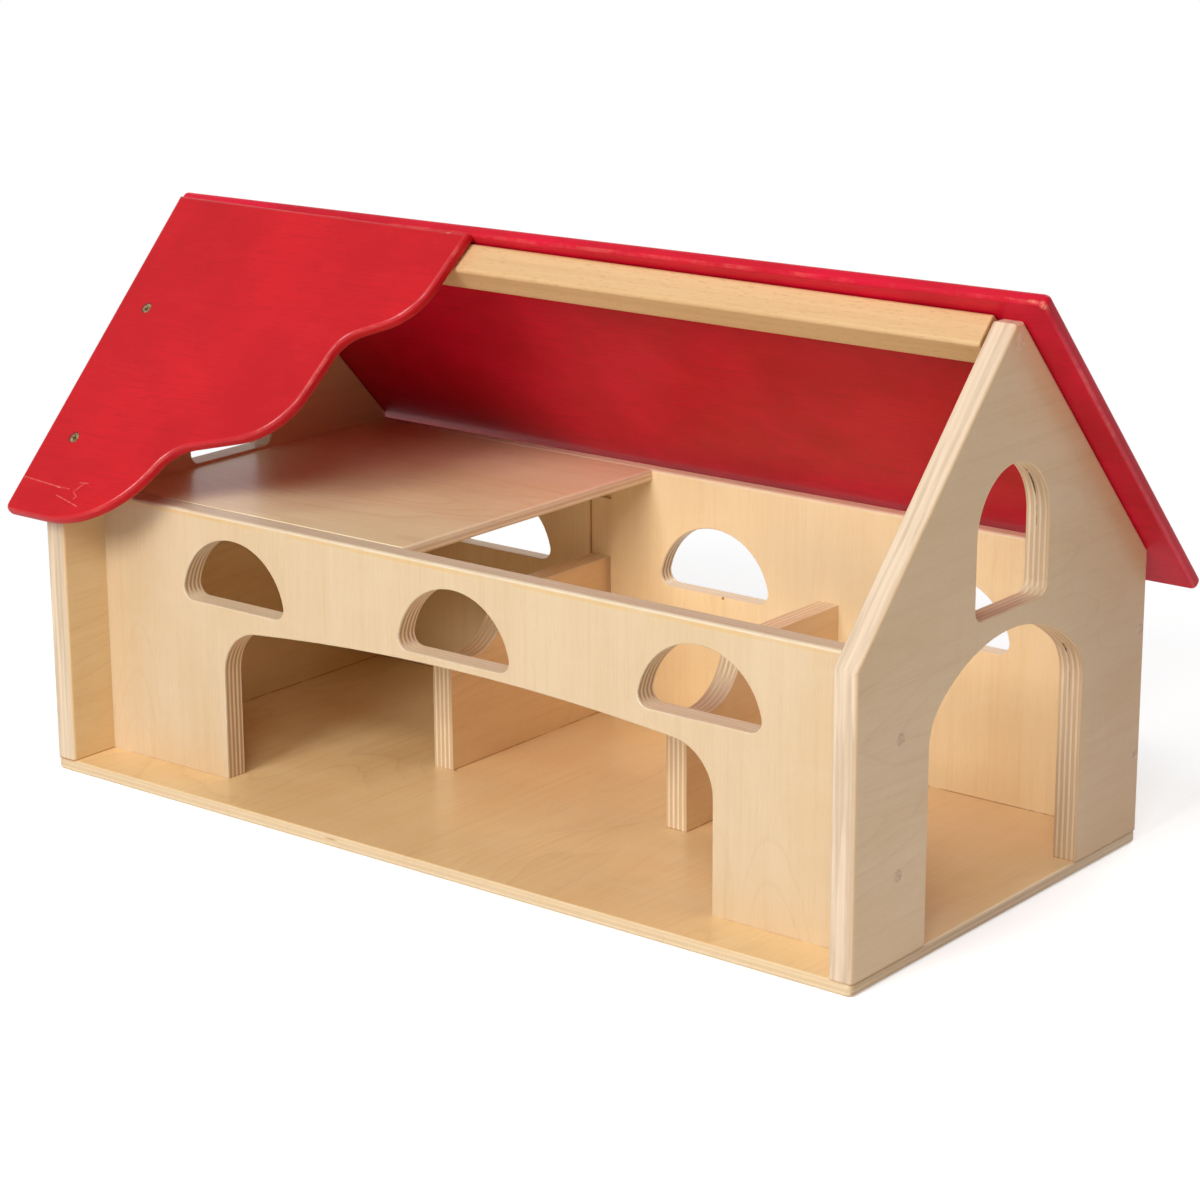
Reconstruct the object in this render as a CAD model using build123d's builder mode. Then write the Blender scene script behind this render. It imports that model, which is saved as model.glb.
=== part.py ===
from build123d import *

import os
from math import atan2, cos, degrees, radians, sin, tan

os.makedirs("parts", exist_ok=True)

# A child's toy barn in birch plywood, millimetres.  X runs along the ridge, Y from the open front
# to the back, Z up.  The origin is the centre of the underside of the base board.

# ---- driving dimensions ----------------------------------------------------------------------
length = 480.0              # over the two gables
depth = 237.5               # front edge to rear edge of the base and gables
base_board_thick = 6.0
wall_board = 12.0           # gables, front wall and partitions
back_board = 9.0
loft_board = 6.0
roof_board = 6.5
outer_round = 1.8           # round-over on outside arrises
eased = 0.6                 # sanded edge round every cut opening
touch = 0.01                # slack for picking edges by their place

eave_z = 141.8              # where the gable's upright edge meets the slope
gable_top_z = 266.0         # the gable peaks are cut off flat here, under the ridge
roof_pitch = 47.1           # degrees

front_wall_back_y = -79.15  # inner face of the front wall
wall_top_z = 139.5
moon_radius = 34.0
moon_corner = 6.0
moon_spacing = 140.0
front_moon_z = 94.3         # sill of the half-moon windows
back_moon_z = 80.4

front_door_half = 147.8
front_door_spring = 60.0
front_door_crown = 90.3
front_door_corner = 24.0
side_door_half = 63.0
side_door_spring = 94.0
side_door_crown = 132.0
side_door_corner = 24.0
gable_window_half = 29.3
gable_window_sill = 141.0
gable_window_spring = 176.4

left_partition_x = -74.5    # mid-planes of the two stall partitions
right_partition_x = 70.0
partition_front_y = -14.25
partition_low_z = 61.0
partition_high_z = 88.6
partition_cove = 28.0
cove_start_y = 1.25
housing_deep = 3.0          # the left partition is let into the back wall
housing_slack = 3.0         # and its housing is this much wider than the board
mortise_low_z = 119.0
mortise_deep = 6.0

loft_end_x = -39.0
beam_side = 16.5
beam_round = 2.2
beam_z = 257.0
beam_end_gap = 1.2          # the beam stops just short of the right gable
ridge_dowel_z = 258.0

front_roof_overhang = 14.0       # past the left gable
back_roof_overhang_left = 19.5   # the back panel is longer, and stands past the front one
back_roof_overhang_right = 15.0
back_roof_lap_left = 0.8    # the back panel runs past the peak and the front one butts on it;
back_roof_lap_right = 9.4   # its top edge was sawn a little out of square
front_roof_reach = 189.0    # from the peak down the slope
back_roof_reach = 204.5
front_roof_corner = 4.0
back_roof_corner = 3.0
roof_round = 2.5            # both faces of the panels are rounded over
wave_start_x = -60.8        # the front panel's top right corner, at the peak
wave_lean = 9.0             # degrees off straight down the slope
wave_runs = (31.0, 12.5, 22.0, 25.5)
wave_radii = (34.0, 18.0, 38.5, 24.0)
wave_turns = (54.0, 55.5, 65.0, 54.0)

dowel_radius = 3.0
dowel_long = 32.0
dowel_heights = (44.5, 104.5)
ridge_dowel_radius = 4.0
# Screw sizes: head radius, head depth, shank radius, length, and how far the head is sunk.
roof_screw_sizes = (2.6, 1.4, 1.4, 26.0, 0.5)
base_screw_sizes = (4.0, 2.4, 1.8, 26.0, 0.2)
roof_screw_reaches = (67.0, 144.0)

# ---- places worked out from them -------------------------------------------------------------
half_long = length / 2
half_deep = depth / 2
gable_inner_x = half_long - wall_board
gable_mid_x = half_long - wall_board / 2
back_wall_front_y = half_deep - back_board
front_wall_mid_y = front_wall_back_y - wall_board / 2
back_wall_mid_y = half_deep - back_board / 2
peak_z = eave_z + half_deep * tan(radians(roof_pitch))
peak_flat_half = (peak_z - gable_top_z) / tan(radians(roof_pitch))
slope_y = cos(radians(roof_pitch))
slope_z = sin(radians(roof_pitch))

# Each roof plane lies on the sloping gable edges; its own Y climbs the slope from there to the peak.
front_roof = Plane(origin=(0, 0, peak_z), x_dir=(1, 0, 0), z_dir=(0, -slope_z, slope_y))
back_roof = Plane(origin=(0, 0, peak_z), x_dir=(-1, 0, 0), z_dir=(0, slope_z, slope_y))


def rims(edges, axis, low, high):
    """The edges that lie in the two broad faces of a board, at low and high along the axis."""
    near = edges.filter_by_position(axis, low - touch, low + touch)
    far = edges.filter_by_position(axis, high - touch, high + touch)
    return near + far


def three_centred_arch(half_span, spring, crown, corner):
    """A doorway outline from below the floor line: upright jambs, tight corners, one long crown arc."""
    rise = crown - spring
    corner_x = half_span - corner
    crown_radius = (corner_x**2 + rise**2 - corner**2) / (2 * (rise - corner))
    turn = degrees(atan2(crown_radius - rise, corner_x))
    foot = base_board_thick
    with BuildSketch() as arch:
        with BuildLine():
            CenterArc((corner_x, spring), corner, 0, turn)
            CenterArc((0, crown - crown_radius), crown_radius, turn, 180 - 2 * turn)
            CenterArc((-corner_x, spring), corner, 180 - turn, turn)
            Polyline(
                (-half_span, spring),
                (-half_span, foot),
                (half_span, foot),
                (half_span, spring),
            )
        make_face()
    return arch.sketch


def screw(head_radius, head_deep, shank_radius, long, sunk):
    """A countersunk cross-head wood screw that points down from the surface at z = 0."""
    head_z = -sunk
    neck_z = head_z - head_deep
    end_z = head_z - long
    with BuildPart() as wood_screw:
        with BuildSketch(Plane.XZ):
            with BuildLine():
                Polyline(
                    (0, head_z),
                    (head_radius, head_z),
                    (shank_radius, neck_z),
                    (shank_radius, end_z + 2 * shank_radius),
                    (0, end_z),
                    close=True,
                )
            make_face()
        revolve(axis=Axis.Z)
        slot_long = head_radius * 1.1
        slot_wide = head_radius * 0.24
        slot_deep = head_deep * 0.6
        with BuildSketch(Plane.XY.offset(head_z)):
            Rectangle(slot_long, slot_wide)
            Rectangle(slot_wide, slot_long)
        extrude(amount=-slot_deep, mode=Mode.SUBTRACT)
    return wood_screw.part


def screw_space(head_radius, head_deep, shank_radius, long, sunk):
    """The countersunk hole that the screw fills; its cone goes on up to the surface."""
    head_z = -sunk
    neck_z = head_z - head_deep
    end_z = head_z - long
    mouth_radius = head_radius + sunk * (head_radius - shank_radius) / head_deep
    with BuildPart() as hole:
        with BuildSketch(Plane.XZ):
            with BuildLine():
                Polyline(
                    (0, 1),
                    (mouth_radius, 1),
                    (mouth_radius, 0),
                    (shank_radius, neck_z),
                    (shank_radius, end_z + 2 * shank_radius),
                    (0, end_z),
                    close=True,
                )
            make_face()
        revolve(axis=Axis.Z)
    return hole.part


def write(piece, name):
    """Label a finished piece and write its own file."""
    piece.part.label = name
    export_step(piece.part, f"parts/{name}.step")


# ---- where the fasteners go ------------------------------------------------------------------
roof_screw = screw(*roof_screw_sizes)
roof_screw_hole = screw_space(*roof_screw_sizes)
base_screw = screw(*base_screw_sizes)
base_screw_hole = screw_space(*base_screw_sizes)


def from_below(x, y):
    """The frame of a screw driven up through the underside."""
    return Plane(origin=(x, y, 0), x_dir=(1, 0, 0), z_dir=(0, 0, -1))


def on_slope(roof, x, reach):
    """The frame of a screw on a roof panel's outer face, this far down the slope."""
    place = roof.from_local_coords(Vector(x, -reach, roof_board))
    return Plane(origin=place, x_dir=roof.x_dir, z_dir=roof.z_dir)


front_screw_places = [on_slope(front_roof, -gable_mid_x, reach) for reach in roof_screw_reaches]
back_screw_places = [
    on_slope(back_roof, side * gable_mid_x, reach) for side in (-1, 1) for reach in roof_screw_reaches
]

gable_screw_rows = (-105.0, -78.0, 78.0, 105.0)
left_gable_screw_places = [from_below(-gable_mid_x, y) for y in gable_screw_rows]
right_gable_screw_places = [from_below(gable_mid_x, y) for y in gable_screw_rows]

front_leg_rows = (-208.0, -170.0, 170.0, 208.0)
front_wall_screw_places = [from_below(x, front_wall_mid_y) for x in front_leg_rows]

back_wall_rows = (-190.0, -20.0, 20.0, 190.0)
back_wall_screw_places = [from_below(x, back_wall_mid_y) for x in back_wall_rows]

partition_screw_rows = (15.0, 85.0)
left_partition_screw_places = [from_below(left_partition_x, y) for y in partition_screw_rows]
right_partition_screw_places = [from_below(right_partition_x, y) for y in partition_screw_rows]

base_screw_places = (
    left_gable_screw_places
    + right_gable_screw_places
    + front_wall_screw_places
    + back_wall_screw_places
    + left_partition_screw_places
    + right_partition_screw_places
)

wall_dowel_points = [(y, z) for y in (front_wall_mid_y, back_wall_mid_y) for z in dowel_heights]
ridge_dowel_point = (0, ridge_dowel_z)
dowel_start_x = half_long - dowel_long


def wall_dowels(start_x):
    """Four beech dowels through one gable into the ends of the front and back walls."""
    with BuildPart() as dowels:
        with BuildSketch(Plane.YZ.offset(start_x)):
            with Locations(*wall_dowel_points):
                Circle(dowel_radius)
        extrude(amount=dowel_long)
    return dowels


def ridge_dowel(start_x):
    """The beech dowel that holds one end of the ridge beam."""
    with BuildPart() as dowel:
        with BuildSketch(Plane.YZ.offset(start_x)):
            with Locations(ridge_dowel_point):
                Circle(ridge_dowel_radius)
        extrude(amount=dowel_long)
    return dowel


left_wall_dowels = wall_dowels(-half_long)
right_wall_dowels = wall_dowels(dowel_start_x)
left_ridge_dowel = ridge_dowel(-half_long)
right_ridge_dowel = ridge_dowel(dowel_start_x)

# ---- outlines used more than once ------------------------------------------------------------
with BuildSketch() as half_moon:
    with BuildLine():
        CenterArc((0, 0), moon_radius, 0, 180)
        Line((-moon_radius, 0), (moon_radius, 0))
    make_face()
    fillet(half_moon.vertices(), moon_corner)

with BuildSketch() as gable_window:
    with BuildLine():
        CenterArc((0, gable_window_spring), gable_window_half, 0, 180)
        Polyline(
            (-gable_window_half, gable_window_spring),
            (-gable_window_half, gable_window_sill),
            (gable_window_half, gable_window_sill),
            (gable_window_half, gable_window_spring),
        )
    make_face()
    fillet(gable_window.vertices().group_by(Axis.Y)[0], moon_corner)

with BuildSketch() as gable_outline:
    with BuildLine():
        Polyline(
            (-half_deep, base_board_thick),
            (half_deep, base_board_thick),
            (half_deep, eave_z),
            (peak_flat_half, gable_top_z),
            (-peak_flat_half, gable_top_z),
            (-half_deep, eave_z),
            close=True,
        )
    make_face()

side_doorway = three_centred_arch(side_door_half, side_door_spring, side_door_crown, side_door_corner)
front_doorway = three_centred_arch(
    front_door_half, front_door_spring, front_door_crown, front_door_corner
)

# ---- base board ------------------------------------------------------------------------------
base_plan_corner = 3.0
with BuildPart() as base_board:
    with BuildSketch():
        RectangleRounded(length, depth, base_plan_corner)
    extrude(amount=base_board_thick)
    fillet(rims(base_board.edges(), Axis.Z, 0, base_board_thick), outer_round)
    with Locations(*base_screw_places):
        add(base_screw_hole, mode=Mode.SUBTRACT)
write(base_board, "base_board")


# ---- gables ----------------------------------------------------------------------------------
def gable(inner_low_x, openings, screw_places, roof_places, dowels):
    """One gable: the house outline, rounded outside, with its openings cut and its holes drilled."""
    high_x = inner_low_x + wall_board
    with BuildPart() as board:
        with BuildSketch(Plane.YZ.offset(inner_low_x)):
            add(gable_outline.sketch)
        extrude(amount=wall_board)
        around = rims(board.edges(), Axis.X, inner_low_x, high_x)
        above_base = around.filter_by_position(Axis.Z, base_board_thick + touch, peak_z)
        fillet(above_base, outer_round)
        with BuildSketch(Plane.YZ.offset(inner_low_x)):
            for opening in openings:
                add(opening)
        extrude(amount=wall_board, mode=Mode.SUBTRACT)
        cut = rims(board.edges(Select.LAST), Axis.X, inner_low_x, high_x)
        cut = cut.filter_by_position(Axis.Z, base_board_thick + touch, peak_z)
        cut = cut.filter_by_position(Axis.Y, -side_door_half - touch, side_door_half + touch)
        fillet(cut, eased)
        with Locations(*screw_places):
            add(base_screw_hole, mode=Mode.SUBTRACT)
        with Locations(*roof_places):
            add(roof_screw_hole, mode=Mode.SUBTRACT)
        for dowel in dowels:
            add(dowel.part, mode=Mode.SUBTRACT)
    return board


left_gable = gable(
    -half_long,
    [gable_window.sketch],
    left_gable_screw_places,
    front_screw_places + back_screw_places,
    [left_wall_dowels, left_ridge_dowel],
)
write(left_gable, "left_gable")

right_gable = gable(
    gable_inner_x,
    [gable_window.sketch, side_doorway],
    right_gable_screw_places,
    back_screw_places,
    [right_wall_dowels, right_ridge_dowel],
)
write(right_gable, "right_gable")

# ---- front wall ------------------------------------------------------------------------------
with BuildPart() as front_wall:
    with BuildSketch(Plane.XZ.offset(-front_wall_back_y)):
        with Locations((0, (base_board_thick + wall_top_z) / 2)):
            Rectangle(2 * gable_inner_x, wall_top_z - base_board_thick)
    extrude(amount=wall_board)
    fillet(front_wall.edges().group_by(Axis.Z)[-1].filter_by(Axis.X), outer_round)
    with BuildSketch(Plane.XZ.offset(-front_wall_back_y)):
        add(front_doorway)
        with Locations(*[(x, front_moon_z) for x in (-moon_spacing, 0, moon_spacing)]):
            add(half_moon.sketch)
    extrude(amount=wall_board, mode=Mode.SUBTRACT)
    front_cuts = rims(
        front_wall.edges(Select.LAST), Axis.Y, front_wall_back_y - wall_board, front_wall_back_y
    )
    front_cuts = front_cuts.filter_by_position(Axis.Z, base_board_thick + touch, wall_top_z)
    fillet(front_cuts.filter_by_position(Axis.X, -gable_inner_x + touch, gable_inner_x - touch), eased)
    with Locations(*front_wall_screw_places):
        add(base_screw_hole, mode=Mode.SUBTRACT)
    for dowel in (left_wall_dowels, right_wall_dowels):
        add(dowel.part, mode=Mode.SUBTRACT)
write(front_wall, "front_wall")

# ---- back wall -------------------------------------------------------------------------------
housing_left_x = left_partition_x - wall_board / 2
housing_wide = wall_board + housing_slack
with BuildPart() as back_wall:
    with BuildSketch(Plane.XZ.offset(-half_deep)):
        with Locations((0, (base_board_thick + wall_top_z) / 2)):
            Rectangle(2 * gable_inner_x, wall_top_z - base_board_thick)
    extrude(amount=back_board)
    fillet(back_wall.edges().group_by(Axis.Z)[-1].filter_by(Axis.X), outer_round)
    with BuildSketch(Plane.XZ.offset(-half_deep)):
        with Locations(*[(x, back_moon_z) for x in (-moon_spacing, 0, moon_spacing)]):
            add(half_moon.sketch)
    extrude(amount=back_board, mode=Mode.SUBTRACT)
    fillet(rims(back_wall.edges(Select.LAST), Axis.Y, back_wall_front_y, half_deep), eased)
    # The stopped housing for the left partition, and the deeper mortise above it under the loft.
    with BuildSketch(Plane.XZ.offset(-back_wall_front_y - housing_deep)):
        with Locations((housing_left_x, base_board_thick)):
            Rectangle(housing_wide, mortise_low_z - base_board_thick, align=(Align.MIN, Align.MIN))
    extrude(amount=housing_deep, mode=Mode.SUBTRACT)
    with BuildSketch(Plane.XZ.offset(-back_wall_front_y - mortise_deep)):
        with Locations((housing_left_x, mortise_low_z)):
            loft_underside_z = wall_top_z - loft_board
            Rectangle(housing_wide, loft_underside_z - mortise_low_z, align=(Align.MIN, Align.MIN))
    extrude(amount=mortise_deep, mode=Mode.SUBTRACT)
    with Locations(*back_wall_screw_places):
        add(base_screw_hole, mode=Mode.SUBTRACT)
    for dowel in (left_wall_dowels, right_wall_dowels):
        add(dowel.part, mode=Mode.SUBTRACT)
write(back_wall, "back_wall")


# ---- stall partitions ------------------------------------------------------------------------
def partition(mid_x, rear_y, screw_places):
    """One partition: low at the front, then a quarter-round cove up to its full height."""
    cove_end_y = cove_start_y + partition_cove
    half_turn = partition_cove * sin(radians(45))
    with BuildPart() as board:
        with BuildSketch(Plane.YZ.offset(mid_x - wall_board / 2)):
            with BuildLine():
                Line((cove_start_y, partition_low_z), (partition_front_y, partition_low_z))
                Line((partition_front_y, partition_low_z), (partition_front_y, base_board_thick))
                Line((partition_front_y, base_board_thick), (rear_y, base_board_thick))
                Line((rear_y, base_board_thick), (rear_y, partition_high_z))
                Line((rear_y, partition_high_z), (cove_end_y, partition_high_z))
                ThreePointArc(
                    (cove_end_y, partition_high_z),
                    (cove_start_y + half_turn, partition_high_z - half_turn),
                    (cove_start_y, partition_low_z),
                )
            make_face()
        extrude(amount=wall_board)
        around = rims(board.edges(), Axis.X, mid_x - wall_board / 2, mid_x + wall_board / 2)
        around = around.filter_by_position(Axis.Z, base_board_thick + touch, wall_top_z)
        fillet(around.filter_by_position(Axis.Y, partition_front_y - touch, rear_y - touch), eased)
        with Locations(*screw_places):
            add(base_screw_hole, mode=Mode.SUBTRACT)
    return board


left_partition = partition(
    left_partition_x, back_wall_front_y + housing_deep, left_partition_screw_places
)
write(left_partition, "left_partition")

right_partition = partition(right_partition_x, back_wall_front_y, right_partition_screw_places)
write(right_partition, "right_partition")

# ---- loft floor ------------------------------------------------------------------------------
with BuildPart() as loft_floor:
    with BuildSketch(Plane.XY.offset(wall_top_z - loft_board)):
        with Locations((-gable_inner_x, front_wall_back_y)):
            Rectangle(
                loft_end_x + gable_inner_x,
                back_wall_front_y - front_wall_back_y,
                align=(Align.MIN, Align.MIN),
            )
    extrude(amount=loft_board)
    fillet(loft_floor.edges().group_by(Axis.X)[-1].filter_by(Axis.Y), outer_round)
write(loft_floor, "loft_floor")

# ---- ridge beam ------------------------------------------------------------------------------
beam_end_round = 1.0
with BuildPart() as ridge_beam:
    with BuildSketch(Plane.YZ.offset(-gable_inner_x)):
        with Locations((0, beam_z)):
            Rectangle(beam_side, beam_side, rotation=45)
    extrude(amount=2 * gable_inner_x - beam_end_gap)
    fillet(ridge_beam.edges().filter_by(Axis.X), beam_round)
    beam_ends = rims(ridge_beam.edges(), Axis.X, -gable_inner_x, gable_inner_x - beam_end_gap)
    fillet(beam_ends, beam_end_round)
    for dowel in (left_ridge_dowel, right_ridge_dowel):
        add(dowel.part, mode=Mode.SUBTRACT)
write(ridge_beam, "ridge_beam")

# ---- roof ------------------------------------------------------------------------------------
front_roof_end_x = half_long + front_roof_overhang
back_roof_left_x = half_long + back_roof_overhang_left
back_roof_right_x = half_long + back_roof_overhang_right
down = Vector(0, -1)
with BuildPart() as front_roof_panel:
    with BuildSketch(front_roof) as front_roof_outline:
        with BuildLine():
            # The cut-away edge comes down from the peak in waves: a straight run, then a bend,
            # each bend the other way, and a last one that brings it level along the eave.
            corner = Vector(wave_start_x, 0)
            heading = down.rotate(Axis.Z, -wave_lean)
            start = corner
            side = -1
            for run, radius, turn in zip(wave_runs, wave_radii, wave_turns):
                straight = PolarLine(start, run, direction=heading)
                bend = JernArc(straight @ 1, heading, radius, side * turn)
                start = bend @ 1
                heading = bend % 1
                side = -side
            last_turn = degrees(atan2(-heading.Y, -heading.X))
            last_radius = (start.Y + front_roof_reach) / (1 - cos(radians(last_turn)))
            last_bend = JernArc(start, heading, last_radius, -last_turn)
            Polyline(
                last_bend @ 1,
                (-front_roof_end_x, -front_roof_reach),
                (-front_roof_end_x, 0),
                corner,
            )
        make_face()
        fillet(front_roof_outline.vertices().group_by(Axis.X)[0].sort_by(Axis.Y)[0], front_roof_corner)
    extrude(amount=roof_board)
    fillet(front_roof_panel.faces().filter_by(front_roof).edges(), roof_round)
    with Locations(*front_screw_places):
        add(roof_screw_hole, mode=Mode.SUBTRACT)
write(front_roof_panel, "front_roof_panel")

with BuildPart() as back_roof_panel:
    with BuildSketch(back_roof) as back_roof_outline:
        with BuildLine():
            Polyline(
                (-back_roof_right_x, back_roof_lap_right),
                (-back_roof_right_x, -back_roof_reach),
                (back_roof_left_x, -back_roof_reach),
                (back_roof_left_x, back_roof_lap_left),
                close=True,
            )
        make_face()
        fillet(back_roof_outline.vertices(), back_roof_corner)
    extrude(amount=roof_board)
    fillet(back_roof_panel.faces().filter_by(back_roof).edges(), roof_round)
    with Locations(*back_screw_places):
        add(roof_screw_hole, mode=Mode.SUBTRACT)
write(back_roof_panel, "back_roof_panel")

# ---- fasteners -------------------------------------------------------------------------------
write(left_wall_dowels, "left_wall_dowels")
write(right_wall_dowels, "right_wall_dowels")
write(left_ridge_dowel, "left_ridge_dowel")
write(right_ridge_dowel, "right_ridge_dowel")

screw_groups = {
    "front_roof_screws": (roof_screw, front_screw_places),
    "back_roof_screws": (roof_screw, back_screw_places),
    "left_gable_screws": (base_screw, left_gable_screw_places),
    "right_gable_screws": (base_screw, right_gable_screw_places),
    "front_wall_screws": (base_screw, front_wall_screw_places),
    "back_wall_screws": (base_screw, back_wall_screw_places),
    "left_partition_screws": (base_screw, left_partition_screw_places),
    "right_partition_screws": (base_screw, right_partition_screw_places),
}
for name, (one_screw, places) in screw_groups.items():
    with BuildPart() as screws:
        with Locations(*places):
            add(one_screw)
    write(screws, name)
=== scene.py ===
import math

import bpy
from mathutils import Matrix, Vector


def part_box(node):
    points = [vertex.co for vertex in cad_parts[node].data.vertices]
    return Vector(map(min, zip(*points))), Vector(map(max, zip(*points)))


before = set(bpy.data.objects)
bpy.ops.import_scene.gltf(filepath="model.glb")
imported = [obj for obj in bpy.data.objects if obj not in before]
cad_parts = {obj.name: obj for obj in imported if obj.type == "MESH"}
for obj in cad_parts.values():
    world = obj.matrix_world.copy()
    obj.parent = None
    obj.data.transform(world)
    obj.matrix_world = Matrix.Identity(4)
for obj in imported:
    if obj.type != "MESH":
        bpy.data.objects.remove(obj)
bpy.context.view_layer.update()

# ---- base board ------------------------------------------------------------------------------
# A 6 mm sheet of five-ply birch, sanded and sealed with satin lacquer.  Everything stands on it,
# screwed from below.  Its face grain runs from front to back.
mm_per_metre = 1000.0


class Wire:
    """One value inside a finish.  Arithmetic on it adds the Math nodes that work it out."""

    def __init__(self, finish, socket):
        self.finish = finish
        self.socket = socket

    def math(self, operation, *others):
        values = dict(enumerate((self, *others)))
        return self.finish.node("ShaderNodeMath", {"operation": operation}, values)

    def __add__(self, other):
        return self.math("ADD", other)

    def __radd__(self, other):
        return self.math("ADD", other)

    def __sub__(self, other):
        return self.math("SUBTRACT", other)

    def __rsub__(self, other):
        return (self * -1) + other

    def __mul__(self, other):
        return self.math("MULTIPLY", other)

    def __rmul__(self, other):
        return self.math("MULTIPLY", other)

    def __truediv__(self, other):
        return self.math("DIVIDE", other)

    def __abs__(self):
        return self.math("ABSOLUTE")

    def __mod__(self, other):
        return self.math("FLOORED_MODULO", other)

    def __floor__(self):
        return self.math("FLOOR")

    def either(self, other):
        """The larger of two values: this mark or that one."""
        return self.math("MAXIMUM", other)

    def ramp(self, low, high):
        """0 at low, 1 at high, smooth in between; low may be the larger of the two."""
        values = {"Value": self, "From Min": low, "From Max": high}
        return self.finish.node("ShaderNodeMapRange", {"interpolation_type": "SMOOTHSTEP"}, values)


class Finish:
    """The nodes of one material, with the place on the object in millimetres."""

    def __init__(self, tree):
        self.tree = tree
        tree.nodes.clear()

    def read_place(self):
        spots = self.node("ShaderNodeTexCoord", {}, {}, "Object")
        self.place = self.vector("SCALE", {0: spots, "Scale": mm_per_metre})
        parts = self.tree.nodes.new("ShaderNodeSeparateXYZ")
        self.tree.links.new(self.place.socket, parts.inputs[0])
        self.x, self.y, self.z = (Wire(self, output) for output in parts.outputs)
        self.lean = self.node("ShaderNodeTexCoord", {}, {}, "Normal")

    def node(self, kind, settings, values, output=0):
        """Adds one node: its settings first, then the numbers or links of its sockets."""
        made = self.tree.nodes.new(kind)
        for name, setting in settings.items():
            setattr(made, name, setting)
        for name, value in values.items():
            if isinstance(value, Wire):
                self.tree.links.new(value.socket, made.inputs[name])
            else:
                made.inputs[name].default_value = value
        return Wire(self, made.outputs[output]) if made.outputs else made

    def vector(self, operation, values, output=0):
        return self.node("ShaderNodeVectorMath", {"operation": operation}, values, output)

    def mix(self, first, second, share):
        """Blends two colours: all first at 0, all second at 1."""
        values = {0: share, 6: first, 7: second}
        return self.node("ShaderNodeMix", {"data_type": "RGBA"}, values, 2)

    def noise(self, stretch, shift, detail=3.0, rough=0.5, warp=0.0):
        """Cloudy noise from 0 to 1, with its cycles per millimetre along X, Y and Z."""
        scaled = self.vector("MULTIPLY", {0: self.place, 1: stretch})
        if not isinstance(shift, Wire):
            shift = (shift, shift * 0.7, shift * 1.3)
        moved = self.vector("ADD", {0: scaled, 1: shift})
        values = {"Vector": moved, "Scale": 1.0, "Detail": detail, "Roughness": rough}
        values["Distortion"] = warp
        return self.node("ShaderNodeTexNoise", {}, values)

    def facing(self, axis):
        """How squarely the surface looks along an axis, whichever way round: 0 to 1."""
        return abs(self.vector("DOT_PRODUCT", {0: self.lean, 1: axis}, 1))

    def blot(self, centre, reach, soft=0.4):
        """A rounded mark of its own reach along X, Y and Z: 1 inside, fading at its rim."""
        away = self.vector("SUBTRACT", {0: self.place, 1: centre})
        away = self.vector("DIVIDE", {0: away, 1: reach})
        return self.vector("LENGTH", {0: away}, 1).ramp(1.0, 1.0 - soft)

    def close(self, colour, rough, height, deep, coat=0.0, coat_rough=0.2, metal=0.0, gloss=0.5):
        """The shader itself: colour, roughness and a bump of this many metres."""
        values = {"Height": height, "Distance": deep, "Strength": 1.0}
        normal = self.node("ShaderNodeBump", {}, values)
        values = {"Base Color": colour, "Roughness": rough, "Normal": normal}
        values["Coat Weight"] = coat
        values["Coat Roughness"] = coat_rough
        values["Metallic"] = metal
        values["Specular IOR Level"] = gloss
        shader = self.node("ShaderNodeBsdfPrincipled", {}, values)
        self.node("ShaderNodeOutputMaterial", {}, {"Surface": shader})
        return self.material


def new_finish(name):
    """An empty finish that knows its places on the object."""
    material = bpy.data.materials.new(name)
    material.use_nodes = True
    finish = Finish(material.node_tree)
    finish.material = material
    finish.read_place()
    return finish


def srgb(red, green, blue):
    """A colour named in the usual 0 to 255 steps, in the linear values that shaders use."""
    linear = []
    for step in (red, green, blue):
        part = step / 255
        linear.append(part / 12.92 if part <= 0.04045 else ((part + 0.055) / 1.055) ** 2.4)
    return (*linear, 1.0)


def along(grain, lengthwise, crosswise):
    """Noise cycles per millimetre: slow along the grain and quick across it."""
    return tuple(lengthwise if part else crosswise for part in grain)


X, Y, Z = (1, 0, 0), (0, 1, 0), (0, 0, 1)
birch_pale = srgb(246, 221, 180)
birch_warm = srgb(237, 203, 152)
birch_shade = srgb(212, 168, 112)
growth_brown = srgb(176, 118, 62)
long_grain = srgb(249, 233, 202)
end_grain = srgb(190, 144, 96)
glue_line = srgb(142, 94, 64)
# Dark of gaps and ply voids, and painted shade in the back wall's slot.
void_and_shade_dark = srgb(84, 56, 38)
glue_share = 0.14
rings_per_hill = 17
skin_turn, cut_turn = 0.975, 0.86
oblique, square_on = 0.45, 0.92
wood_gloss = 0.35
lacquer_rough = 0.24
birch_relief = 0.00003


def toned(colour, tone):
    """A colour as one sheet of wood shows it: its red, green and blue times the sheet's tone."""
    return (*(part * share for part, share in zip(colour, tone)), 1.0)


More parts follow.
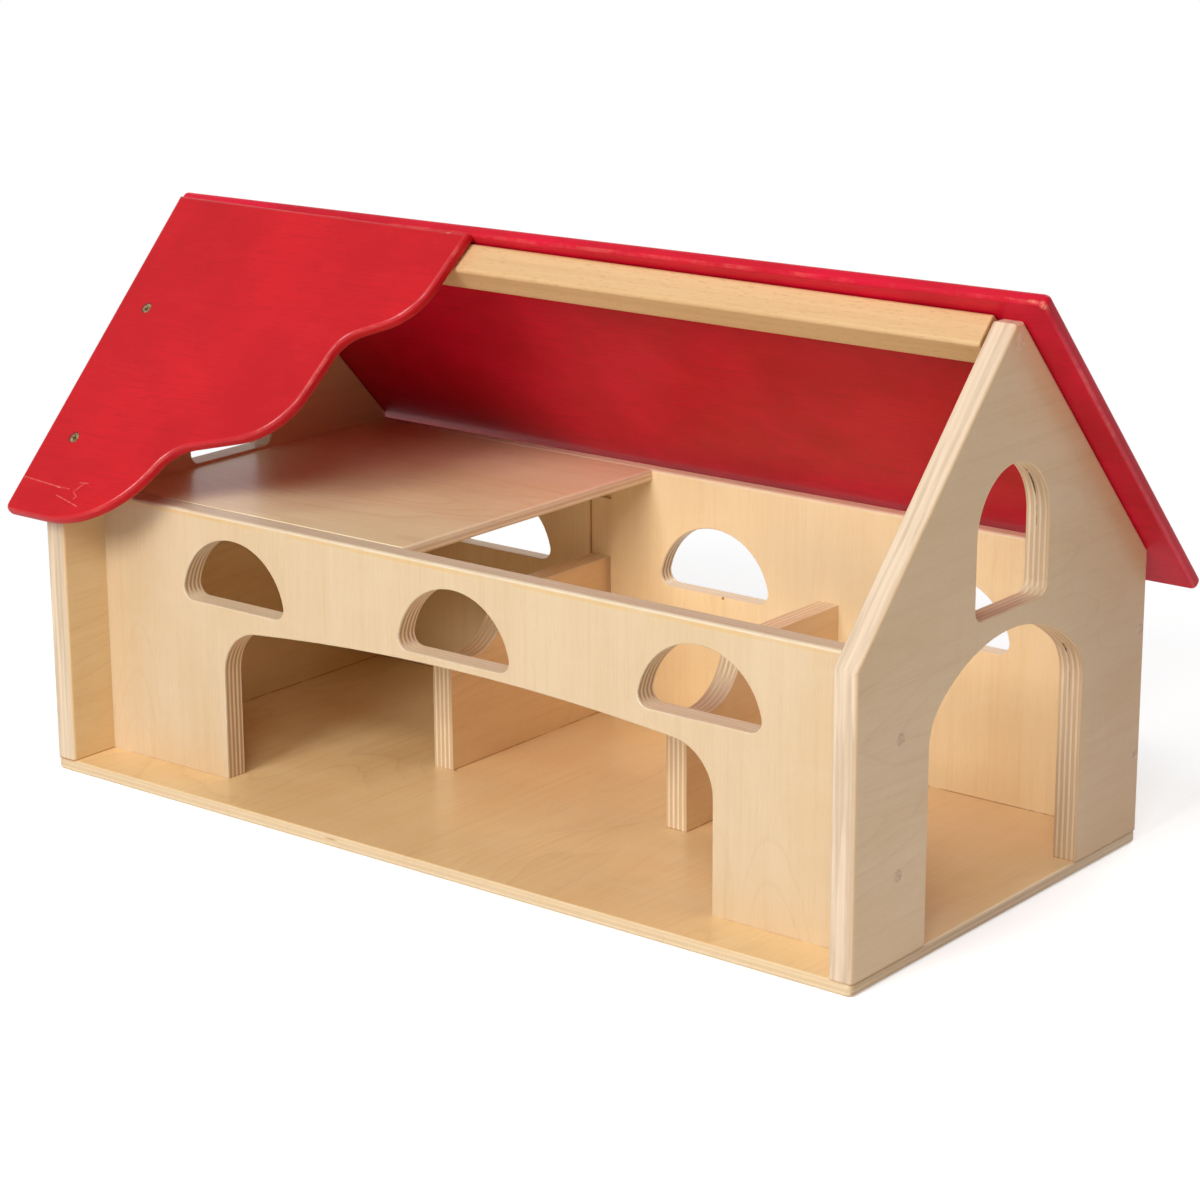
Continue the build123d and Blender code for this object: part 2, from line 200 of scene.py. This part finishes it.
def birch_ply(name, node, through, grain, plies, seed, tone, figure, edge_depth, marks=None, coat=0.3):
    """Birch plywood as a solid: every cut shows the plies, every face the veneer's figure.

    through is the axis through the board and grain the way its face veneers run.  tone sets one
    sheet off from the next, figure is how strong its growth lines are, and edge_depth how dark
    the cut ends of the plies look on its edges, everywhere alike or by a function of the place."""
    finish = new_finish(name)
    if callable(edge_depth):
        edge_depth = edge_depth(finish)
    low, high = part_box(node)
    axis = through.index(1)
    low_mm = low[axis] * mm_per_metre
    ply_mm = (high[axis] - low[axis]) * mm_per_metre / plies
    cross = tuple(1 - a - b for a, b in zip(through, grain))
    depth = (finish.x, finish.y, finish.z)[axis]
    pale, warm, shade = (toned(colour, tone) for colour in (birch_pale, birch_warm, birch_shade))
    brown = toned(growth_brown, tone)
    cut_tone = tuple((1 + share) / 2 for share in tone)
    long_fibre, fibre_end = (toned(colour, cut_tone) for colour in (long_grain, end_grain))

    # Which ply this is, counted through the board.  The plies waver a little along it.
    waver = finish.noise((0.02, 0.02, 0.02), seed, 2.0) - 0.5
    layer = (depth - low_mm) / ply_mm + waver * 0.5
    index = math.floor(layer)
    turned = index % 2
    within = layer % 1
    glue = 1 - within.ramp(0.0, glue_share) * within.ramp(1.0, 1 - glue_share)
    on_edge = finish.facing(through).ramp(skin_turn, cut_turn)
    own_tone = finish.node("ShaderNodeTexWhiteNoise", {"noise_dimensions": "1D"}, {"W": index + seed})

    # Each ply shows long fibres or cut ends, as its own grain lies along the cut or across it.
    face_cut = finish.facing(grain).ramp(oblique, square_on)
    cross_cut = finish.facing(cross).ramp(oblique, square_on)
    cut_end = face_cut * (1 - turned) * 0.6 + cross_cut * turned

    # Threads, streaks, short pores and cloudy patches, all along the face grain.
    threads = finish.noise(along(grain, 0.03, 1.5), seed, 4.0, 0.65)
    streaks = finish.noise(along(grain, 0.006, 0.26), seed + 5, 3.0, 0.6)
    pores = finish.noise(along(grain, 0.13, 2.2), seed + 3, 2.0, 0.5)
    patches = finish.noise(along(grain, 0.005, 0.02), seed + 11, 4.0, 0.55, 0.5)
    flame = finish.noise(along(grain, 0.07, 0.025), seed + 13, 3.0, 0.6, 0.3)

    # Growth lines: level lines of a long lazy hill, soft on one side and sharp on the other.
    hill = finish.noise(along(grain, 0.0028, 0.0125), seed + 19, 2.0, 0.42, 0.4)
    ring = (hill * rings_per_hill + threads * 0.12 + streaks * 0.35) % 1
    line = ring.ramp(0.3, 0.9) * 0.35 + ring.ramp(0.78, 0.95) * 0.65
    line = line * ring.ramp(1.0, 0.97)
    where = finish.noise(along(grain, 0.006, 0.012), seed + 23).ramp(0.4, 0.64)

    face = finish.mix(pale, warm, patches.ramp(0.3, 0.7) * 0.6)
    face = finish.mix(face, shade, streaks.ramp(0.45, 0.8) * (0.12 + figure * 0.4))
    face = finish.mix(face, pale, flame.ramp(0.45, 0.75) * 0.4)
    face = finish.mix(face, shade, threads.ramp(0.42, 0.8) * 0.15)
    face = finish.mix(face, brown, line * where * figure)
    face = finish.mix(face, shade, pores.ramp(0.58, 0.74) * 0.16)

    # The edge: every ply has its own tone, streaks that follow it and glue beside it.
    grit = finish.noise((2.4, 2.4, 2.4), index * 3.7 + seed, 2.0, 0.6)
    drift = finish.noise((0.05, 0.05, 0.05), index * 5.3 + seed, 3.0, 0.6)
    long_cut = finish.mix(long_fibre, shade, own_tone * 0.2 + drift.ramp(0.35, 0.7) * 0.15)
    end_cut = finish.mix(fibre_end, warm, own_tone * 0.4 + grit.ramp(0.4, 0.75) * 0.2)
    edge = finish.mix(long_cut, end_cut, cut_end * edge_depth)
    edge = finish.mix(edge, glue_line, glue * edge_depth * grit.ramp(0.2, 0.6) * 0.42)
    colour = finish.mix(face, edge, on_edge)
    if marks:
        colour = marks(finish, colour)

    rough = 0.38 + threads * 0.14 + on_edge * 0.12
    height = (threads * 0.6 + pores.ramp(0.72, 0.6) * 0.4) * (1 - on_edge) + grit * on_edge * 0.2
    return finish.close(
        colour,
        rough,
        height,
        birch_relief,
        coat=coat,
        coat_rough=lacquer_rough,
        gloss=wood_gloss,
    )


def dress(node, material):
    """Puts a material on a piece that came from the solid model."""
    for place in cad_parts[node].material_slots:
        place.material = material


base_tone = (0.98, 0.91, 0.75)
sanded_edge = srgb(200, 174, 140)
foot_z = 6.0


def base_marks(finish, colour):
    """Silky pale flames, painted shade that darkens the front and painted light that pales the back,
    sanded edges with a knot in the front one, and a dark gap at the left partition's foot."""
    silk = finish.noise((0.016, 0.05, 0.1), 21.0, 4.0, 0.65, 0.4).ramp(0.48, 0.72)
    fibres = finish.noise((0.45, 0.012, 0.1), 27.0, 4.0, 0.65).ramp(0.5, 0.78)
    colour = finish.mix(colour, birch_pale, silk * 0.22)
    colour = finish.mix(colour, birch_shade, fibres * 0.3)
    # Painted shade towards the front edge and painted light towards the back of the floor.
    colour = finish.mix(colour, birch_shade, finish.y.ramp(-30.0, -100.0) * 0.18)
    colour = finish.mix(colour, birch_pale, finish.y.ramp(0.0, 60.0) * 0.3)
    colour = finish.mix(colour, sanded_edge, finish.facing(Z).ramp(0.9, 0.6) * 0.3)
    colour = finish.mix(colour, growth_brown, finish.facing(X).ramp(0.5, 0.9) * 0.25)
    knot = finish.blot((-53.6, -118.4, 4.2), (5.5, 2.0, 0.7), 0.7)
    gap = finish.blot((-71.8, -12.6, foot_z), (6.2, 1.6, 1.0), 0.5)
    colour = finish.mix(colour, growth_brown, knot * 0.6)
    return finish.mix(colour, void_and_shade_dark, gap * 0.8)


base_birch = birch_ply(
    "base birch",
    "base_board",
    through=Z,
    grain=Y,
    plies=5,
    seed=3.0,
    tone=base_tone,
    figure=0.14,
    edge_depth=0.6,
    marks=base_marks,
    coat=0.6,
)
dress("base_board", base_birch)

# ---- gables ----------------------------------------------------------------------------------
# Two house-shaped ends of 12 mm nine-ply birch, grain from front to back, arrises rounded over.
# Both have an arched window under the peak, and the right one has a doorway down to the floor.
roof_pitch = math.radians(47.1)
roof_peak = 269.6
left_gable_tone = (0.9, 0.84, 0.72)
right_gable_tone = (0.88, 0.8, 0.76)
honey = srgb(214, 164, 104)
slope_band = (5.0, 12.0)
upright_band = (114.0, 108.0)
gap_ply_x = 233.4
sanded_pale = srgb(221, 197, 174)
sanded_tan = srgb(178, 152, 130)


def gable_outline(finish):
    """1 along a gable's outline and 0 in its openings."""
    below_slope = (roof_peak - finish.z) * math.cos(roof_pitch)
    below_slope = below_slope - abs(finish.y) * math.sin(roof_pitch)
    return 1 - below_slope.ramp(*slope_band) * abs(finish.y).ramp(*upright_band)


def worn_tops(finish):
    """Ply ends that show plainly on upright cuts and only faintly on level ones."""
    return 1 - finish.facing(Z).ramp(0.4, 0.9) * 0.62


def gable_edges(finish):
    """Dark plies inside the openings and paler ones round the outline, which is sanded more."""
    return (1 - gable_outline(finish) * 0.5) * worn_tops(finish) * 0.85


def sanded_outline(finish, colour):
    """Broad uneven bands along the outline's sanded cut, and honey wood on rounded arrises."""
    flat = finish.facing(X)
    bands = finish.noise((0.3, 0.014, 0.014), 37.0, 2.0, 0.5, 0.2).ramp(0.42, 0.62)
    dusty = finish.mix(sanded_pale, sanded_tan, bands)
    colour = finish.mix(colour, dusty, gable_outline(finish) * flat.ramp(0.7, 0.4) * 0.5)
    return finish.mix(colour, honey, flat.ramp(0.5, 0.75) * flat.ramp(0.985, 0.95) * 0.4)


def foot_seam(finish, colour, dark=0.7):
    """The thin dark line where a board stands on the base board."""
    broken = finish.noise((0.08, 0.08, 0.08), 31.0, 3.0, 0.7).ramp(0.3, 0.5)
    return finish.mix(colour, growth_brown, finish.z.ramp(foot_z + 0.8, foot_z + 0.3) * broken * dark)


def left_gable_marks(finish, colour):
    """A sanded outline and a dark line at the foot."""
    return foot_seam(finish, sanded_outline(finish, colour), 0.8)


def right_gable_marks(finish, colour):
    """Dark gaps in one ply round the window and the doorway, pale short streaks, and painted shade
    that browns the faces towards the back."""
    colour = foot_seam(finish, sanded_outline(finish, colour), 0.4)
    broken = finish.noise((0.3, 0.3, 0.14), 57.0, 3.0, 0.7).ramp(0.38, 0.5)
    gaps = finish.blot((gap_ply_x, 22.0, 191.0), (0.7, 9.5, 10.5), 0.3)
    gaps = gaps.either(finish.blot((gap_ply_x, 28.0, 176.0), (0.6, 4.0, 13.0), 0.6) * 0.5)
    gaps = gaps.either(finish.blot((gap_ply_x, 58.5, 109.5), (0.7, 5.0, 4.5), 0.4))
    gaps = gaps.either(finish.blot((gap_ply_x, 66.0, 95.0), (0.8, 8.0, 16.0), 0.5) * 0.3)
    inside = finish.facing(X).ramp(0.7, 0.4)
    streaks = finish.noise((0.1, 0.016, 0.12), 97.0, 3.0, 0.6, 0.4).ramp(0.56, 0.7)
    streaks = streaks * finish.z.ramp(130.0, 80.0) * finish.facing(X).ramp(0.95, 0.99)
    colour = finish.mix(colour, birch_pale, streaks * 0.14)
    # Painted shade: both faces turn browner towards the back.
    colour = finish.mix(colour, growth_brown, finish.y.ramp(10.0, 110.0) * (1 - inside) * 0.3)
    return finish.mix(colour, void_and_shade_dark, gaps * broken * inside * 0.85)


left_birch = birch_ply(
    "left gable birch",
    "left_gable",
    through=X,
    grain=Y,
    plies=9,
    seed=44.0,
    tone=left_gable_tone,
    figure=0.1,
    edge_depth=gable_edges,
    marks=left_gable_marks,
)
dress("left_gable", left_birch)
right_birch = birch_ply(
    "right gable birch",
    "right_gable",
    through=X,
    grain=Y,
    plies=9,
    seed=67.0,
    tone=right_gable_tone,
    figure=0.07,
    edge_depth=gable_edges,
    marks=right_gable_marks,
)
dress("right_gable", right_birch)

# ---- front and back walls --------------------------------------------------------------------
# Upright-grained birch ply: 12 mm in front, with a low wide doorway and three half-moon windows,
# and 9 mm at the back with three more.  Dowels through the gables hold their ends.
# Set down partly as painted shade, for the strong front light on this wall.
front_wall_tone_and_painted_shade = (0.778, 0.762, 0.775)
lacquer_gold = srgb(222, 176, 92)
front_wall_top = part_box("front_wall")[1][2] * mm_per_metre
# Set up partly as painted light, for the dim inside of the barn.
back_wall_tone_and_painted_light = (1.05, 1.06, 1.01)
# A duller veneer colour, painted on as shade.
painted_shade_veneer = srgb(200, 180, 146)
back_wall_inside = 109.75


def arches(finish, middle_x, top_z, spread, gap):
    """Growth lines as nested arches that open downward, the figure of a flat-cut veneer."""
    bend = finish.noise((0.02, 0.02, 0.02), middle_x, 2.0) - 0.5
    across = finish.x - middle_x + bend * 14
    level = (top_z - finish.z - across * across / spread) / gap
    ring = level % 1
    return ring.ramp(0.72, 0.95) * ring.ramp(1.0, 0.97) * level.ramp(-0.1, 0.2) * level.ramp(4.0, 2.0)


def front_wall_marks(finish, colour):
    """Faint arches of growth lines on both legs, and lacquer gathered below the top edge."""
    figure = arches(finish, -208.0, 97.0, 6.0, 24.0) + arches(finish, 181.0, 67.0, 8.0, 20.0)
    colour = finish.mix(colour, growth_brown, figure * 0.07)
    below = front_wall_top - finish.z
    uneven = finish.noise((0.02, 0.02, 0.02), 63.0, 3.0, 0.6).ramp(0.35, 0.6)
    run = below.ramp(0.8, 2.0) * below.ramp(3.6, 2.4) * uneven
    colour = finish.mix(colour, lacquer_gold, run * 0.45)
    return foot_seam(finish, colour, 0.3)


def back_wall_marks(finish, colour):
    """Painted shade in a cloud and a torn slot, a filled spot at the top edge and a brown dot on a
    sill.
    """
    filler = finish.blot((2.0, 110.0, 138.0), (9.0, 3.0, 2.4), 0.5)
    dot = finish.blot((5.8, back_wall_inside, 79.5), (1.1, 1.6, 1.1), 0.6)
    torn = finish.noise((0.5, 0.5, 0.9), 33.0, 2.0, 0.7).ramp(0.35, 0.6)
    # Painted shade: the slot's top end under the loft, dark and torn-looking.
    shaded_slot = finish.blot((-76.0, back_wall_inside, 121.6), (7.5, 3.0, 2.4), 0.3) * torn
    # Painted shade: a soft duller cloud over the middle of the wall.
    painted_shade_cloud = finish.blot((75.0, 105.0, 100.0), (90.0, 40.0, 48.0), 1.0)
    colour = finish.mix(colour, painted_shade_veneer, painted_shade_cloud * 0.5)
    colour = finish.mix(colour, birch_pale, filler * 0.7)
    colour = finish.mix(colour, void_and_shade_dark, shaded_slot * 0.85)
    colour = finish.mix(colour, growth_brown, dot)
    return foot_seam(finish, colour)


front_birch = birch_ply(
    "front wall birch",
    "front_wall",
    through=Y,
    grain=Z,
    plies=9,
    seed=83.0,
    tone=front_wall_tone_and_painted_shade,
    figure=0.04,
    edge_depth=worn_tops,
    marks=front_wall_marks,
)
dress("front_wall", front_birch)
back_birch = birch_ply(
    "back wall birch",
    "back_wall",
    through=Y,
    grain=Z,
    plies=7,
    seed=109.0,
    tone=back_wall_tone_and_painted_light,
    figure=0.06,
    edge_depth=worn_tops,
    marks=back_wall_marks,
)
dress("back_wall", back_birch)

# ---- stalls and loft -------------------------------------------------------------------------
# Two 12 mm partitions, coved in front, stand on the base board against the back wall.
# The loft is a 6 mm sheet let in between the walls over the left bays.
partition_tone = (0.95, 0.9, 0.83)
# Set up partly as painted light, for the dim inside of the barn.
loft_tone_and_painted_light = (1.05, 1.1, 1.1)


def loft_marks(finish, colour):
    """A small knot in the right edge."""
    knot = finish.blot((-38.0, -14.5, 139.0), (1.6, 3.4, 1.6), 0.6)
    return finish.mix(colour, growth_brown, knot)


for side, seed in (("left", 139.0), ("right", 157.0)):
    board = side + "_partition"
    birch = birch_ply(
        side + " partition birch",
        board,
        through=X,
        grain=Y,
        plies=9,
        seed=seed,
        tone=partition_tone,
        figure=0.22,
        edge_depth=worn_tops,
        marks=foot_seam,
    )
    dress(board, birch)

loft_birch = birch_ply(
    "loft birch",
    "loft_floor",
    through=Z,
    grain=X,
    plies=5,
    seed=181.0,
    tone=loft_tone_and_painted_light,
    figure=0.14,
    edge_depth=0.6,
    marks=loft_marks,
)
dress("loft_floor", loft_birch)

# ---- ridge beam ------------------------------------------------------------------------------
# A square beech bar, planed and turned on its corner between the two peaks, its arrises rounded.
beech_pale = srgb(222, 184, 134)
beech_warm = srgb(208, 164, 112)
fleck_brown = srgb(150, 98, 52)
beech_relief = 0.00004
beech_coat = 0.3


def beech(name, grain, seed):
    """Solid beech: straight grain with the small brown flecks of its rays."""
    finish = new_finish(name)
    threads = finish.noise(along(grain, 0.02, 1.1), seed, 4.0, 0.6)
    bands = finish.noise(along(grain, 0.003, 0.12), seed + 3, 2.0, 0.4)
    flecks = finish.noise(along(grain, 0.22, 1.7), seed + 9, 1.0, 0.4)
    cut_end = finish.facing(grain).ramp(0.4, 0.9)
    colour = finish.mix(beech_pale, beech_warm, bands.ramp(0.3, 0.7))
    colour = finish.mix(colour, beech_warm, threads.ramp(0.4, 0.8) * 0.4)
    colour = finish.mix(colour, fleck_brown, flecks.ramp(0.6, 0.72) * 0.24)
    colour = finish.mix(colour, end_grain, cut_end * 0.35)
    height = threads * 0.6 + flecks.ramp(0.75, 0.63) * 0.4
    rough = 0.4 + threads * 0.12
    return finish.close(
        colour,
        rough,
        height,
        beech_relief,
        coat=beech_coat,
        coat_rough=lacquer_rough,
        gloss=wood_gloss,
    )


dress("ridge_beam", beech("beam beech", X, 201.0))

# ---- roof ------------------------------------------------------------------------------------
# Two 6.5 mm sheets rounded over all round and painted a bright opaque red, inside and out.
# The back one is whole and runs past the peak; the front one is cut away in waves.
panel_thick = 6.5
front_slope = (0.0, -math.sin(roof_pitch), math.cos(roof_pitch))
back_slope = (0.0, math.sin(roof_pitch), math.cos(roof_pitch))
red_coat = srgb(200, 14, 26)
red_inner = srgb(214, 2, 48)
red_deep = srgb(172, 6, 20)
red_pale = srgb(214, 34, 40)
# Pale worn red, also used for the painted highlight along the arrises.
red_wear_and_highlight = srgb(238, 132, 112)
red_shadow = srgb(70, 6, 10)
paint_relief = 0.00006
roof_screw_x = -234.0
roof_screw_reach = (67.0, 144.0)
screw_ring = (3.6, 3.6, 3.6)
scratch_reach = 0.45


def red_paint(name, slope, seed, light, marks):
    """Red paint over birch: faint brushing and grain along the panel, paler on arrises with rubbed
    wear and a painted highlight.
    """
    finish = new_finish(name)
    clouds = finish.noise((0.014, 0.014, 0.014), seed, 3.0, 0.6, 0.3)
    grain = finish.noise((0.03, 0.7, 0.7), seed + 5, 3.0, 0.6)
    short_grain = finish.noise((0.12, 1.3, 1.3), seed + 7, 2.0, 0.5)
    orange_peel = finish.noise((0.9, 0.9, 0.9), seed + 9, 2.0)
    rubbed = finish.noise((0.03, 0.06, 0.06), seed + 13, 4.0, 0.7)
    flat = finish.facing(slope)
    arris = flat.ramp(0.97, 0.85) * flat.ramp(0.25, 0.5)
    mottle = finish.noise((0.03, 0.05, 0.05), seed + 17, 4.0, 0.65, 0.4)
    colour = finish.mix(light, red_deep, clouds.ramp(0.3, 0.7) * 0.6)
    colour = finish.mix(colour, red_pale, mottle.ramp(0.5, 0.75) * 0.3)
    colour = finish.mix(colour, red_deep, grain.ramp(0.42, 0.8) * 0.45)
    colour = finish.mix(colour, red_deep, short_grain.ramp(0.56, 0.72) * 0.5)
    # Rubbed wear with a painted highlight: a pale line along the rounded arrises.
    colour = finish.mix(colour, red_wear_and_highlight, arris * rubbed.ramp(0.45, 0.7) * 0.25)
    colour = marks(finish, colour)
    height = grain * 0.5 + short_grain * 0.2 + orange_peel * 0.3
    rough = 0.42 + clouds * 0.12
    coat = 0.08 + arris * finish.z.ramp(272.0, 256.0) * 0.4
    return finish.close(colour, rough, height, paint_relief, coat=coat, coat_rough=0.2, gloss=0.2)


def on_front_roof(x, down):
    """A place on the front panel's outer face, this far down the slope from the peak."""
    y = -down * math.cos(roof_pitch) - panel_thick * math.sin(roof_pitch)
    z = roof_peak - down * math.sin(roof_pitch) + panel_thick * math.cos(roof_pitch)
    return (x, y, z)


def scratch(finish, start, end):
    """A thin straight mark from one place to another."""
    run = Vector(end) - Vector(start)
    along_it = finish.vector("SUBTRACT", {0: finish.place, 1: start})
    share = finish.vector("DOT_PRODUCT", {0: along_it, 1: tuple(run / run.length_squared)}, 1)
    share = share.math("MAXIMUM", 0.0).math("MINIMUM", 1.0)
    nearest = finish.vector("SCALE", {0: tuple(run), "Scale": share})
    off = finish.vector("SUBTRACT", {0: along_it, 1: nearest})
    return finish.vector("LENGTH", {0: off}, 1).ramp(scratch_reach, scratch_reach * 0.4)


def front_roof_marks(finish, colour):
    """Scratches near the low left corner, a chip at the top and painted shade round each screw."""
    # Every turn of a scratch: its X, and how far down the slope it is from the peak.
    paths = [
        [(-252.0, 169.8), (-225.5, 171.5), (-218.5, 171.4)],
        [(-211.0, 167.0), (-213.5, 170.5), (-215.0, 172.5), (-211.5, 174.5), (-212.5, 176.0)],
        [(-214.0, 167.0), (-208.5, 166.5)],
        [(-224.5, 176.0), (-217.0, 177.5), (-208.0, 179.5)],
    ]
    scratched = finish.blot(on_front_roof(-225.5, 171.5), (2.2, 0.7, 0.7), 0.6)
    for path in paths:
        for start, end in zip(path, path[1:]):
            stroke = scratch(finish, on_front_roof(*start), on_front_roof(*end))
            scratched = scratched.either(stroke * 0.6)
    broken = finish.noise((0.35, 0.35, 0.35), 77.0, 3.0, 0.6).ramp(0.3, 0.6)
    colour = finish.mix(colour, red_wear_and_highlight, scratched * broken * 0.7)
    chip = finish.blot((-72.9, -5.1, 273.7), (2.4, 2.0, 1.6), 0.6)
    colour = finish.mix(colour, red_wear_and_highlight, chip * 0.7)
    for down in roof_screw_reach:
        # A ring of painted shade in the countersink.
        ring = finish.blot(on_front_roof(roof_screw_x, down), screw_ring, 0.3)
        colour = finish.mix(colour, red_shadow, ring * 0.8)
    return colour


def back_roof_marks(finish, colour):
    """Rubbed spots at the top right corner, where the wood nearly shows."""
    rubs = finish.blot((253.4, -5.0, 275.4), (2.2, 2.6, 2.6), 0.6)
    rubs = rubs.either(finish.blot((248.5, -6.0, 277.0), (4.0, 1.8, 1.4), 0.6))
    rubs = rubs.either(finish.blot((237.0, -6.0, 277.2), (5.0, 1.4, 1.0), 0.6))
    patchy = finish.noise((0.8, 0.8, 0.8), 91.0, 2.0, 0.6).ramp(0.3, 0.6)
    return finish.mix(colour, red_wear_and_highlight, rubs * patchy * 0.8)


front_red = red_paint("front roof red", front_slope, 223.0, red_coat, front_roof_marks)
dress("front_roof_panel", front_red)
back_red = red_paint("back roof red", back_slope, 241.0, red_inner, back_roof_marks)
dress("back_roof_panel", back_red)

# ---- dowels and screws -----------------------------------------------------------------------
# Beech dowels sanded flush with the gables, their end grain a shade darker than the ply.
# Bronze cross-head screws hold the roof, and zinc-plated ones the base board.
metal_relief = 0.00002


def dowel_end(name, light, dark, seed):
    """The sanded end of a dowel: speckled end grain."""
    finish = new_finish(name)
    dots = finish.noise((1.6, 1.6, 1.6), seed, 3.0, 0.7)
    patch = finish.noise((0.3, 0.3, 0.3), seed + 4, 2.0)
    colour = finish.mix(light, dark, dots.ramp(0.35, 0.7) * 0.5 + patch.ramp(0.35, 0.65) * 0.5)
    return finish.close(colour, 0.45 + dots * 0.1, dots, beech_relief, coat=0.2, gloss=wood_gloss)


def screw_metal(name, bright, dull, seed):
    """Plated steel with fine scratches and dull stains."""
    finish = new_finish(name)
    stains = finish.noise((0.7, 0.7, 0.7), seed, 3.0, 0.6)
    scratches = finish.noise((6.0, 1.2, 1.2), seed + 3, 2.0, 0.6)
    colour = finish.mix(bright, dull, stains.ramp(0.35, 0.65))
    rough = 0.3 + stains * 0.25 + scratches * 0.1
    return finish.close(colour, rough, scratches, metal_relief, metal=0.9)


wall_dowel_wood = dowel_end("dowel beech", srgb(232, 196, 160), srgb(186, 146, 112), 260.0)
for node in ("left_wall_dowels", "right_wall_dowels"):
    dress(node, wall_dowel_wood)

ridge_dowel_wood = dowel_end("ridge dowel beech", srgb(240, 212, 174), srgb(216, 178, 138), 263.0)
for node in ("left_ridge_dowel", "right_ridge_dowel"):
    dress(node, ridge_dowel_wood)

bronze = screw_metal("screw bronze", srgb(176, 152, 112), srgb(104, 82, 56), 271.0)
for node in ("front_roof_screws", "back_roof_screws"):
    dress(node, bronze)

zinc = screw_metal("screw zinc", srgb(200, 202, 200), srgb(150, 152, 150), 281.0)
for joint in (
    "left_gable",
    "right_gable",
    "front_wall",
    "back_wall",
    "left_partition",
    "right_partition",
):
    dress(joint + "_screws", zinc)

# ---- floor, light and camera -----------------------------------------------------------------
# A white studio floor that fades into a white surround.  Three soft boxes stand in front and one
# behind, and the camera looks down a little at the barn's right front corner.
floor_half = 12.0
floor_mesh = bpy.data.meshes.new("studio_floor")
corners = [(-floor_half, -floor_half, 0), (floor_half, -floor_half, 0)]
corners += [(floor_half, floor_half, 0), (-floor_half, floor_half, 0)]
floor_mesh.from_pydata(corners, [], [(0, 1, 2, 3)])
floor = bpy.data.objects.new("studio_floor", floor_mesh)
bpy.context.scene.collection.objects.link(floor)


def seen_white(finish):
    """1 where the camera, a mirror or a glass looks at the surround itself, 0 for its light."""
    seen = finish.node("ShaderNodeLightPath", {}, {}, "Is Camera Ray")
    mirrored = finish.node("ShaderNodeLightPath", {}, {}, "Is Glossy Ray")
    glassy = finish.node("ShaderNodeLightPath", {}, {}, "Is Transmission Ray")
    return (seen + mirrored + glassy).math("MINIMUM", 1.0)


cloth_white = srgb(236, 236, 236)
cloth_lift = 0.42
fade_near, fade_far = 300.0, 720.0
white = (1, 1, 1, 1)

cloth = new_finish("floor white")
shown = seen_white(cloth)
far = cloth.vector("LENGTH", {0: cloth.place}, 1).ramp(fade_near, fade_far)
matt = cloth.node("ShaderNodeBsdfDiffuse", {}, {"Color": cloth_white})
lift = cloth.node("ShaderNodeEmission", {}, {"Color": white, "Strength": shown * cloth_lift})
near_floor = cloth.node("ShaderNodeAddShader", {}, {0: matt, 1: lift})
glow = cloth.node("ShaderNodeEmission", {}, {"Color": white, "Strength": 1.0})
blend = cloth.node("ShaderNodeMixShader", {}, {0: far * shown, 1: near_floor, 2: glow})
cloth.node("ShaderNodeOutputMaterial", {}, {"Surface": blend})
floor_mesh.materials.append(cloth.material)

ambient = 0.15
world = bpy.data.worlds.new("studio")
bpy.context.scene.world = world
world.use_nodes = True
surround = Finish(world.node_tree)
level = seen_white(surround) * (1 - ambient) + ambient
backdrop = surround.node("ShaderNodeBackground", {}, {"Color": white, "Strength": level})
surround.node("ShaderNodeOutputWorld", {}, {"Surface": backdrop})

lit_middle = (0, 0, 0.12)


def soft_box(name, place, wide, watts):
    """A square soft lamp at place, turned to face the barn."""
    lamp = bpy.data.lights.new(name, "AREA")
    lamp.shape = "SQUARE"
    lamp.size = wide
    lamp.energy = watts
    holder = bpy.data.objects.new(name, lamp)
    holder.location = place
    toward = Vector(lit_middle) - Vector(place)
    holder.rotation_euler = toward.to_track_quat("-Z", "Y").to_euler()
    bpy.context.scene.collection.objects.link(holder)


soft_box("front_box", (0.0, -2.4, 1.4), wide=0.9, watts=42)
soft_box("right_box", (1.2, -1.9, 1.9), wide=0.9, watts=20)
soft_box("top_box", (0.0, -1.3, 2.3), wide=0.9, watts=9)
soft_box("back_box", (0.2, 1.8, 2.0), wide=1.2, watts=23)

camera_place = (0.9333, -1.1575, 0.5334)
camera_azimuth = 38.461
camera_tilt = 16.151
camera_roll = -0.283
focal_pixels = 3241.5
frame_pixels = 1200.0
sensor_mm = 36.0

camera = bpy.data.cameras.new("camera")
camera.sensor_width = sensor_mm
camera.lens = focal_pixels / frame_pixels * sensor_mm
holder = bpy.data.objects.new("camera", camera)
turn, tilt, roll = (math.radians(angle) for angle in (camera_azimuth, camera_tilt, camera_roll))
right = Vector((math.cos(turn), math.sin(turn), 0))
ahead = Vector((-math.sin(turn) * math.cos(tilt), math.cos(turn) * math.cos(tilt), -math.sin(tilt)))
above = right.cross(ahead)
leaned_right = right * math.cos(roll) + above * math.sin(roll)
leaned_above = above * math.cos(roll) - right * math.sin(roll)
axes = Matrix((leaned_right, leaned_above, -ahead)).transposed()
holder.matrix_world = Matrix.Translation(camera_place) @ axes.to_4x4()
bpy.context.scene.collection.objects.link(holder)
bpy.context.scene.camera = holder
bpy.context.scene.view_settings.view_transform = "Standard"
